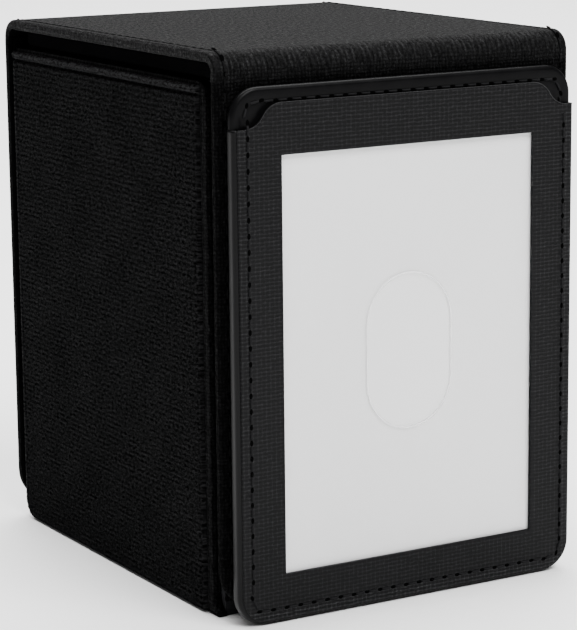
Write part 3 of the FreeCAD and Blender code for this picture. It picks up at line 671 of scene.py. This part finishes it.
def cover_strip(name, runs, crown=0.0, tight=None, foot=1.0):
    """A length of the cover swept along its path. crown swells its middle, tight(run) says how far the
    fabric is pulled over a fold, and foot is the share of its thickness at its first end."""
    rim = cover_profile(SHEET, *SHEET_EDGES)
    sides = list(zip(rim, unrolled(rim)))
    inner, columns = HALF - RIM_REACH, 40
    across = [(-HALF + inset, height, -HALF + on) for (inset, height), on in sides]
    across += [(x, SHEET, x) for x in spaced(-inner, inner, columns)[1:-1]]
    across += [(HALF - inset, height, HALF - on) for (inset, height), on in sides[::-1]]
    unevenness = 0.05 * min(1, crown * 9)
    points, cloth, stretch = [], [], []
    for run in runs:
        y, z, ny, nz = wrap(run)
        share = (run - runs[0]) / (runs[-1] - runs[0])
        for x, height, on in across:
            swell = 0.0
            if height >= SHEET:
                swell = crown * math.cos(math.pi * x / (2 * HALF)) ** 1.2 * math.sin(math.pi * share) ** 0.9
                swell += unevenness * noise.noise(Vector((x * 0.06, run * 0.06, 1.7)))
            depth = (SHEET - height - swell) * (foot + (1 - foot) * share)
            points.append(Vector((x, y - ny * depth, z - nz * depth)))
            cloth.append((on, run))
            stretch.append(tight(run) if tight else 0.0)
    count = len(across)
    faces = tube(0, len(runs), count)
    lining = [number for number, (a, b, _, _) in enumerate(faces)
              if across[a % count][1] == 0 and across[b % count][1] == 0]
    return dress(make_mesh(name, points, faces, cloth, stretch, lining), COVER, LINING)


def cover_panel(name, y, facing, thick, edges):
    """The cover's upright panel at the front or the rear, with rounded lower corners."""
    outline = hanging_path(HALF, LIFT, LEVEL - OVERRUN, PANEL_CORNER, 12)
    back = y - facing * thick
    obj = plate(name, outline, cover_profile(thick, *edges), upright_place(back, facing), open_top=True,
                flip=facing > 0)
    for item in obj.data.attributes["cloth"].data:
        x, z, _ = item.vector
        item.vector = (x, z - LEVEL if facing > 0 else FLAP_RUN + LEVEL - z, 0)
    dress(obj, COVER if facing > 0 else SHADED_FLAP_COVER, LINING)
    for face in obj.data.polygons:
        if all(abs(obj.data.vertices[v].co.y / MM - back) < 1e-3 for v in face.vertices):
            face.material_index = 1
    return obj


def make_cover():
    """Rear panel, rear fold, lid, front fold and flap."""
    lid_end = FOLD_RUN + LID_RUN

    def tight(run):
        turn = run if run < FOLD_RUN else run - lid_end
        return max(0.0, min(1.0, 1.6 * math.sin(math.pi * max(0.0, min(1.0, turn / FOLD_RUN)))))

    rear = cover_panel("rear_cover", REAR, 1, SKIN, SKIN_EDGES)
    install(rear, "tray", "cover_fabric", "rear_skin")
    lid = cover_strip("lid_cover", spaced(FOLD_RUN + OVERRUN, lid_end - OVERRUN, 40), 0.35)
    install(lid, "lid", "cover_fabric", "lid_skin")
    flap = cover_panel("flap_cover", FRONT, -1, SHEET, SHEET_EDGES)
    install(flap, "flap", "cover_fabric", "flap_skin")
    for node, start, bodies, foot in FOLDS:
        runs = spaced(start - OVERRUN, start + FOLD_RUN + OVERRUN, 28)
        fold = cover_strip(node + "_cover", runs, 0.0, tight, foot)
        bend(fold, bodies, start)
        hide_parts(node)


def make_rear_lining():
    """The black sheet inside the rear cover, which stops short of the cover's edges."""
    low, high = span("rear_cover_lining")
    inset, thickness = 1.2, high.y - low.y
    outline = hanging_path(HALF - inset, LIFT + inset, high.z, PANEL_CORNER - inset, 12)
    rim = [(0.3, 0.0), (0.05, 0.1), (0.0, 0.3), (0.0, thickness)]
    obj = dress(plate("rear_cover_inner", outline, rim, upright_place(low.y, 1), flip=True), LINING)
    install(obj, "tray", "lining_fabric", "rear_cover_lining")


def bend(piece, bodies, start):
    """Bakes the piece's transform into its mesh; the piece is not attached to the bodies and does not follow
    them round the fold.
    """
    for run in (start, start + FOLD_RUN):
        y, z, _, _ = wrap(run)
    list(bodies)
    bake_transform(piece)


# ---- stitches -----------------------------------------

def lay_stitches(name, stations, material, radius, length, sink):
    """Stitches of round thread whose ends dip into the fabric. A station is a centre, the way along the
    seam and the way out of the fabric."""
    points, faces = [], []
    sides, rings = 8, 9
    for centre, way, out in stations:
        aside = way.cross(out).normalized()
        first = len(points)
        for ring in range(rings):
            share = 2 * ring / (rings - 1) - 1
            thin = radius * (1 - 0.35 * share ** 4)
            height = radius * 0.75 - sink - 2.1 * radius * abs(share) ** 5
            middle = centre + way * (share * length / 2) + out * height
            for side in range(sides):
                turn = 2 * math.pi * side / sides
                points.append(middle + aside * (thin * math.cos(turn)) + out * (thin * math.sin(turn)))
        faces += tube(first, rings, sides)
        faces.append([first + side for side in range(sides)][::-1])
        faces.append([first + (rings - 1) * sides + side for side in range(sides)])
    return dress(make_mesh(name, points, faces), material)


def lay_holes(name, stations, long, wide, proud):
    """Needle holes as small dark spots, painted shade for the holes' insides, one at the start of each
    stitch, with their two half sizes.
    """
    points, faces = [], []
    sides = 10
    for centre, way, out in stations:
        aside = way.cross(out).normalized()
        middle = centre - way * (STITCH_PITCH / 2)
        first = len(points)
        for share, height in ((1.0, -0.3), (1.0, 0.15), (0.75, 0.75), (0.0, 1.0)):
            for side in range(sides if share else 1):
                turn = 2 * math.pi * side / sides
                points.append(middle + way * (long * share * math.cos(turn))
                              + aside * (wide * share * math.sin(turn)) + out * (height * proud))
        faces += tube(first, 3, sides)
        rim = first + 2 * sides
        faces += [[rim + side, rim + (side + 1) % sides, rim + sides] for side in range(sides)]
        faces.append([first + side for side in range(sides)][::-1])
    return dress(make_mesh(name, points, faces), NEEDLE_HOLE_SHADE)


def sew(part, stations, slot, thread, hole):
    """A seam's stitches and its needle holes."""
    threads = lay_stitches(part + "_seam", stations, THREADS[slot], *thread)
    return threads, lay_holes(part + "_seam_holes", stations, *hole)


def sew_on(body, part, stations, slot, thread, hole):
    """A seam on one body, which stands for its part's stitching."""
    threads, holes = sew(part, stations, slot, thread, hole)
    install(threads, body, slot, part + "_stitching")
    install(holes, body, slot)


def stations_along(path, place):
    """Evenly spaced stations on a path of flat points, about a stitch apart. place(point, way) gives a
    station from a flat point and the way along the path there."""
    lengths = [0.0]
    for a, b in zip(path, path[1:]):
        lengths.append(lengths[-1] + (b - a).length)
    count = int(lengths[-1] / STITCH_PITCH)
    gap = lengths[-1] / count
    stations, leg = [], 0
    for i in range(count):
        goal = (i + 0.5) * gap
        while lengths[leg + 1] < goal:
            leg += 1
        share = (goal - lengths[leg]) / (lengths[leg + 1] - lengths[leg])
        way = (path[leg + 1] - path[leg]).normalized()
        stations.append(place(path[leg].lerp(path[leg + 1], share), way))
    return stations


def make_cover_stitching():
    """The seams round the cover's edges."""
    seam = HALF - SEAM
    path = hanging_path(seam, LIFT + SEAM, LEVEL, PANEL_CORNER - SEAM)
    for part, body, y, out in (("rear", "tray", REAR, 1), ("flap", "flap", FRONT, -1)):
        def upright(point, way):
            return Vector((point.x, y, point.y)), Vector((way.x, 0, way.y)), Vector((0, out, 0))

        sew_on(body, part, stations_along(path, upright), *COVER_SEWING)

    def both_sides(start, length, count):
        stations = []
        for x in (-seam, seam):
            for i in range(count):
                y, z, ny, nz = wrap(start + length * (i + 0.5) / count)
                stations.append((Vector((x, y, z)), Vector((0, -nz, ny)), Vector((0, ny, nz))))
        return stations

    sew_on("lid", "lid", both_sides(FOLD_RUN, LID_RUN, round(LID_RUN / STITCH_PITCH)), *COVER_SEWING)
    for node, start, bodies, _ in FOLDS:
        for piece in sew(node, both_sides(start, FOLD_RUN, 2), *FOLD_SEWING):
            bend(piece, bodies, start)


# ---- pads inside the lid and the flap -----------------

def make_pad(body, low, high):
    """The padded pocket on a body, its lowest and highest corners given as (y, z)."""
    inset, rounding = 2.6, 1.3
    pad = rounded_box(body + "_pad", (-HALF + inset, *low), (HALF - inset, *high), rounding, 6)
    install(dress(pad, LINING), body, "lining_fabric", body + "_lining")


def make_pads():
    """The padded pockets under the lid and behind the flap, which bite a little into the cover."""
    bite, margin, flap_top = 0.2, 5.4, 103.4
    lid_foot = span("lid_lining")[0].z
    make_pad("lid", (FRONT + margin, lid_foot), (REAR - margin, TOP - SHEET + bite))
    low, high = span("flap_lining")
    make_pad("flap", (FRONT + SHEET - bite, low.z + 4.0), (high.y, flap_top))


# ---- side shells and side panels ----------------------

def make_side_shell(side, outward):
    """The fabric-wrapped side board, whose front edge curves forward into a low toe."""
    node = side + "_side_shell"
    low, high = span(node)
    thickness = high.x - low.x
    rear_corner, front_corner = 4.0, 2.5
    toe_reach, toe_height, toe_curve = 2.2, 0.9, 3.2
    outline = [Vector((low.y - toe_reach, low.z))]
    outline += arc((high.y - rear_corner, low.z + rear_corner), rear_corner, 270, 360, 8)
    outline += [Vector((high.y, high.z))]
    outline += arc((low.y + front_corner, high.z - front_corner), front_corner, 90, 180, 8)
    for turn in spaced(0.0, math.pi / 2, 8):
        outline.append(Vector((low.y - toe_reach + toe_reach * math.cos(turn),
                               low.z + toe_height + toe_curve * (1 - math.sin(turn)))))
    rim = [(0.0, 0.0)] + rim_arc(0.4, thickness - 0.4, 0.4, 180, 90) + [(0.7, thickness)]
    place = side_place(low.x if outward > 0 else high.x, outward)
    obj = dress(plate(node + "_wrap", outline, rim, place, flip=outward < 0), COVER)
    install(obj, "tray", "cover_fabric", node)


def ramped(distance, width):
    """0 at an edge, rising as a quarter round to 1 at the width."""
    share = max(0.0, min(1.0, distance / width))
    return math.sqrt(max(0.0, 1 - (1 - share) ** 2))


def dip(distance, centre, width):
    """A soft groove: 1 at its centre and 0 beyond half its width."""
    share = abs(distance - centre) / (width / 2)
    return (1 + math.cos(math.pi * share)) / 2 if share < 1 else 0.0


def panel_height(from_front, from_rear, from_top, from_low, y, z):
    """How far the side panel's fabric stands off its shell, in millimetres."""
    roll_height = 1.55
    tuft = noise.noise(Vector((y * 1.3, z * 1.6, 3.0)))
    if from_top < roll_height:
        across = (from_top - roll_height / 2) / (roll_height / 2)
        bulge = math.sqrt(max(0.0, 1 - across ** 2))
        return min(ramped(from_front, 0.7), ramped(from_rear, 0.7)) * (0.35 + 0.95 * bulge + 0.06 * tuft)
    rib = math.sin(2 * math.pi * (z + 0.10 * noise.noise(Vector((y * 0.5, z * 0.5, 5.0)))) / RIB_PITCH)
    broken = 0.5 + 0.5 * noise.noise(Vector((y * 0.9, z * 0.95, 9.0)))
    field = 0.95 + 0.06 * rib * broken + 0.08 * tuft
    for depth, place, centre, width in ((0.62, from_top, roll_height + 0.15, 1.1),
                                        (0.42, from_rear, 1.35, 0.7), (0.34, from_front, 0.95, 0.55)):
        field -= depth * dip(place, centre, width)
    edge = min(ramped(from_front, 0.45), ramped(from_rear, 0.45), ramped(from_low, 0.5))
    return max(0.02, field * edge)


def make_side_panel(side, outward):
    """The raised ribbed panel, with a rolled top edge and a narrow border pressed down its two sides. Its
    mesh is finer at the borders and the roll."""
    node = side + "_side_panel"
    low, high = span(node)
    corner, bottom = 4.0, 0.3
    front_border, rear_border, roll = 2.0, 2.4, 2.6
    length = high.y - low.y
    columns = spaced(0.0, front_border, 16) + spaced(front_border, length - rear_border, 130)[1:]
    columns += spaced(length - rear_border, length, 18)[1:]
    rows = spaced(bottom, high.z - roll, 560) + spaced(high.z - roll, high.z, 26)[1:]
    x = low.x if outward > 0 else high.x
    points, cloth, faces = [], [], []
    for z in rows:
        rise = z - bottom
        cut = corner - math.sqrt(max(0.0, corner ** 2 - (corner - rise) ** 2)) if rise < corner else 0.0
        for d in columns:
            y = low.y + d * (length - cut) / length
            from_rear = (high.y - cut) - y
            if rise < corner and y > high.y - corner:
                from_rear = max(0.0, corner - math.hypot(y - (high.y - corner), corner - rise))
            height = panel_height(y - low.y, from_rear, high.z - z, rise, y, z)
            points.append(Vector((x + outward * height, y, z)))
            cloth.append((y, z))
    count = len(columns)
    for row in range(len(rows) - 1):
        for i in range(count - 1):
            a = row * count + i
            quad = [a, a + 1, a + count + 1, a + count]
            faces.append(quad if outward > 0 else quad[::-1])
    obj = dress(make_mesh(node + "_fabric", points, faces, cloth), PANEL)
    install(obj, "tray", "panel_fabric", node)


# ---- the display holder -------------------------------

def frame_outline():
    """The frame's outline: rounded lower corners and a stepped, S-shaped shoulder at each upper corner."""
    half, low, top = HOLDER_HALF - FRAME_EDGE, HOLDER_LOW.z + FRAME_EDGE / 2, FRAME_HIGH.z
    start = half - SHOULDER_START
    ledge = top - SHOULDER
    run = 2 * SHOULDER * math.sin(math.radians(60))
    right = [Vector((half, ledge))]
    right += arc((start, ledge + SHOULDER), SHOULDER, 270, 210, 8)
    right += arc((start - run, top - SHOULDER), SHOULDER, 30, 90, 8)[1:]
    left = [Vector((-p.x, p.y)) for p in right[::-1]]
    return right + left + lower_corners(half, low, HOLDER_CORNER, 10)


def make_holder_back():
    """The holder's smooth back with its rounded, painted edge and a shallow line pressed along its seam."""
    thickness = HOLDER_HIGH.y - FACE_LOW.y
    outline = rounded_rectangle(HOLDER_HALF, HOLDER_LOW.z, HOLDER_HIGH.z, HOLDER_CORNER)
    rim = [(1.4, 0.0), (0.9, 0.0)] + rim_arc(0.7, 0.7, 0.7, 270, 180, 5)
    rim += rim_arc(0.9, thickness - 0.9, 0.9, 180, 90, 7)
    for aside, sunk in ((-0.5, 0.0), (-0.25, 0.024), (0.0, 0.06), (0.25, 0.024), (0.5, 0.0), (1.2, 0.0)):
        rim.append((HOLDER_SEAM + aside, thickness - sunk))
    obj = dress(plate("holder_back_panel", outline, rim, upright_place(HOLDER_HIGH.y)), SMOOTH)
    install(obj, "display_holder", "smooth_leatherette", "holder_rear_sheet", "holder_face_sheet")


def make_holder_frame():
    """The embossed front frame round its opening, with a thin lip at the opening's edge."""
    opening_top = OPENING_LOW + OPENING_TALL
    opening = [Vector(corner) for corner in ((-OPENING_HALF, OPENING_LOW), (OPENING_HALF, OPENING_LOW),
                                             (OPENING_HALF, opening_top), (-OPENING_HALF, opening_top))]
    thick = FRAME_SHEET
    rim = [(0.0, 0.0), (0.0, thick - 0.22)] + rim_arc(0.22, thick - 0.22, 0.22, 180, 90, 4)[1:]
    rim += [(0.7, thick), (EDGE_BAND, thick)]
    lip = [(0.0, 0.0), (0.0, thick - 0.18), (0.06, thick - 0.06), (0.2, thick), (0.5, thick)]
    place = upright_place(FRAME_LOW.y + thick)
    obj = dress(plate("holder_front_frame", frame_outline(), rim, place, opening, lip), GRAINED)
    install(obj, "display_holder", "grained_leatherette", "holder_frame")


def make_holder_spacer():
    """The U-shaped spacer between the frame and the back, which leaves a pocket open at the top."""
    top = FRAME_HIGH.z - SHOULDER
    pocket_half, pocket_low = 32.0, WINDOW_LOW.z - 0.2
    half = HOLDER_HALF - FRAME_EDGE
    corners = ((half, top), (pocket_half, top), (pocket_half, pocket_low), (-pocket_half, pocket_low),
               (-pocket_half, top), (-half, top))
    outline = [Vector(corner) for corner in corners]
    outline += lower_corners(half, HOLDER_LOW.z, HOLDER_CORNER, 10)
    depth = FACE_LOW.y - FRAME_LOW.y - FRAME_SHEET
    obj = plate("holder_spacer", outline, [(0.05, 0.0), (0.05, depth)], upright_place(FACE_LOW.y))
    install(dress(obj, SMOOTH), "display_holder", "smooth_leatherette")


def sweep(name, path, section):
    """A strip drawn along a path on the front, from a section of (distance outside the path, y) points."""
    points, faces = [], []
    for i, point in enumerate(path):
        before, after = path[max(i - 1, 0)], path[min(i + 1, len(path) - 1)]
        out = -inward(before, after)
        for distance, y in section:
            spot = point + out * distance
            points.append(Vector((spot.x, y, spot.y)))
    row = len(section)
    for i in range(len(path) - 1):
        for step in range(row - 1):
            a = i * row + step
            faces.append([a, a + 1, a + row + 1, a + row])
    for end in (0, len(path) - 1):
        cap = [end * row + step for step in range(row)]
        faces.append(cap if end else cap[::-1])
    return make_mesh(name, points, faces)


def make_edge_paint():
    """The rounded band of edge paint that closes the holder's layers at the sides and the bottom."""
    top, tip = FRAME_HIGH.z - SHOULDER, 0.4
    path = hanging_path(HOLDER_HALF, HOLDER_LOW.z, top - tip, HOLDER_CORNER, 14)
    path = [Vector((-HOLDER_HALF, top))] + path + [Vector((HOLDER_HALF, top))]
    proud, back_round = 0.15, 0.6
    back, front = HOLDER_HIGH.y - 0.05, FRAME_LOW.y + 0.45
    section = arc((proud - back_round, back - back_round), back_round, 90, 0, 6)
    section += arc((proud - EDGE_BAND, front + EDGE_BAND), EDGE_BAND, 0, -90, 9)
    obj = dress(sweep("holder_edge_paint", path, section), EDGE_PAINT)
    install(obj, "display_holder", "smooth_leatherette")


def make_painted_edge_highlight():
    """A pale strip on the frame sheet's cut edge along its top and shoulders: a painted highlight where the
    edge catches the light from above.
    """
    ledge = FRAME_HIGH.z - SHOULDER
    radius, inset, slack = 0.11, 0.09, 0.1
    path = [point for point in frame_outline() if point.y > ledge - slack][::-1]
    section = arc((-inset, FRAME_LOW.y + radius), radius, 10, -100, 7)
    obj = dress(sweep("holder_frame_painted_edge_highlight", path, section), EDGE_HIGHLIGHT)
    install(obj, "display_holder", "smooth_leatherette")


def make_holder_stitching():
    """One seam round the whole holder: on the frame at the sides and bottom, on the back at the top."""
    half = HOLDER_HALF - HOLDER_SEAM
    low, high = HOLDER_LOW.z + HOLDER_SEAM, HOLDER_HIGH.z - HOLDER_SEAM
    path = rounded_rectangle(half, low, high, HOLDER_CORNER - HOLDER_SEAM, 12)
    ledge, slack = FRAME_HIGH.z - SHOULDER, 0.1

    def on_holder(point, way):
        y = FACE_LOW.y if point.y > ledge + slack else FRAME_LOW.y
        return Vector((point.x, y, point.y)), Vector((way.x, 0, way.y)), Vector((0, -1, 0))

    sew_on("display_holder", "holder", stations_along(path + path[:1], on_holder), *HOLDER_SEWING)


def obround(half, low, high, steps=16):
    """A closed outline with round ends, its straight sides upright."""
    return arc((0, high - half), half, 0, 180, steps) + arc((0, low + half), half, 180, 360, steps)


def make_window():
    """The clear window with its thumb slot, and a near-white ring round the slot that is a painted highlight
    on its polished edge.
    """
    slot_half, slot_tall = 9.5, 30.4
    middle = OPENING_LOW + OPENING_TALL / 2
    slot = obround(slot_half, middle - slot_tall / 2, middle + slot_tall / 2)
    outline = rounded_rectangle(WINDOW_HIGH.x, WINDOW_LOW.z, WINDOW_HIGH.z, 0.6, 3)
    rim = [(0.0, 0.0), (0.0, WINDOW_HIGH.y - WINDOW_LOW.y)]
    film = dress(plate("window_film", outline, rim, upright_place(WINDOW_HIGH.y), slot, rim), FILM)
    install(film, "display_holder", "clear_film", "window_sheet")
    width, round_over = 0.32, [(0.0, 0.05), (0.05, 0.08)]
    band = plate("thumb_slot_highlight", offset(slot, -width), [(0.0, 0.0)] + round_over,
                 upright_place(WINDOW_LOW.y + 0.01), slot, [(0.0, -0.2)] + round_over)
    install(dress(band, FILM_HIGHLIGHT_RING), "display_holder", "clear_film")


def make_card():
    """The card on display."""
    low, high = span("display_card")
    outline = rounded_rectangle(high.x, low.z, high.z, 3.0)
    thickness = high.y - low.y
    rim = [(0.0, 0.0), (0.0, thickness - 0.08), (0.03, thickness - 0.02), (0.1, thickness), (0.4, thickness)]
    obj = dress(plate("card_on_display", outline, rim, upright_place(high.y)), CARD)
    install(obj, "card", "card_stock", "display_card")


# ---- CAD nodes that stay ------------------------------

def finish_nodes():
    """Gives every CAD node that still shows its material."""
    walls = ("front", "rear", "left", "right")
    looks = {
        BLACK_BOARD: ["base_cover", "base_board"] + [wall + "_wall_board" for wall in walls],
        COVER_FRONT: ["front_facing"],
        FLOCK: ["floor_lining"] + [wall + "_lining" for wall in walls],
        GREYBOARD: ["lid_board", "flap_board", "holder_board"],
        FOAM: ["lid_foam"],
        STEEL: ["flap_steel_plate"],
        MAGNET: ["tray_magnets", "flap_magnets", "holder_magnets"],
        RUBBER: ["holder_grip_pads"],
    }
    for material, names in looks.items():
        for name in names:
            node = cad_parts[name]
            node.data.materials.clear()
            node.data.materials.append(material)


# ---- stage, light and camera --------------------------

CAMERA_PLACE = Vector((-0.26632, -0.45553, 0.15498))
CAMERA_YAW, CAMERA_PITCH, CAMERA_ROLL = 30.413, 11.387, -0.592
CAMERA_LENS = 146.8


def make_camera():
    """A long lens in front of the box's left corner and a little above it."""
    data = bpy.data.cameras.new("camera")
    data.lens = CAMERA_LENS
    data.clip_start, data.clip_end = 0.01, 50
    camera = new_object("camera", data)
    yaw, pitch, roll = (math.radians(a) for a in (CAMERA_YAW, CAMERA_PITCH, CAMERA_ROLL))
    ahead = Vector((math.sin(yaw) * math.cos(pitch), math.cos(yaw) * math.cos(pitch), -math.sin(pitch)))
    right = Vector((math.cos(yaw), -math.sin(yaw), 0))
    up = right.cross(ahead)
    right, up = (right * math.cos(roll) + up * math.sin(roll), up * math.cos(roll) - right * math.sin(roll))
    turn = Matrix((right, up, -ahead)).transposed()
    camera.matrix_world = Matrix.Translation(CAMERA_PLACE) @ turn.to_4x4()
    bpy.context.scene.camera = camera


def area_light(name, place, target, size, power):
    """A soft rectangular light aimed at a point."""
    data = bpy.data.lights.new(name, "AREA")
    data.shape = "RECTANGLE"
    data.size, data.size_y = size
    data.energy = power
    light = new_object(name, data)
    light.location = place
    light.rotation_euler = (Vector(target) - Vector(place)).to_track_quat("-Z", "Y").to_euler()


def make_stage():
    """A pale floor, a pale surround and three soft lights."""
    bpy.ops.mesh.primitive_plane_add(size=8, location=(0, 0, 0))
    floor = bpy.context.object
    floor.name = "floor"
    s = Shader("pale_floor")
    cloudy = s.noise(s.solid(), 0.004, 2.0)
    s.finish(s.colour(cloudy, (0.95, 0.95, 0.95), (0.97, 0.97, 0.97)), 0.7)
    floor.data.materials.append(s.material)
    world = bpy.data.worlds.new("studio")
    bpy.context.scene.world = world
    world.use_nodes = True
    surround = world.node_tree.nodes["Background"]
    surround.inputs["Color"].default_value = (1, 1, 1, 1)
    surround.inputs["Strength"].default_value = 0.25
    middle = (0, 0, 0.05)
    area_light("overhead", (0.3, 0.9, 2.2), middle, (2.4, 2.4), 175.0)
    area_light("front", (0.15, -1.05, 1.45), middle, (1.1, 0.9), 53.0)
    area_light("back_right", (0.95, 1.6, 0.75), middle, (1.6, 0.8), 3.0)


# ---- the whole object ---------------------------------

make_camera()
make_cover()
make_rear_lining()
make_cover_stitching()
make_pads()
for side_name, way_out in (("left", -1), ("right", 1)):
    make_side_shell(side_name, way_out)
    make_side_panel(side_name, way_out)
make_holder_back()
make_holder_frame()
make_holder_spacer()
make_edge_paint()
make_painted_edge_highlight()
make_holder_stitching()
make_window()
make_card()
finish_nodes()
make_stage()
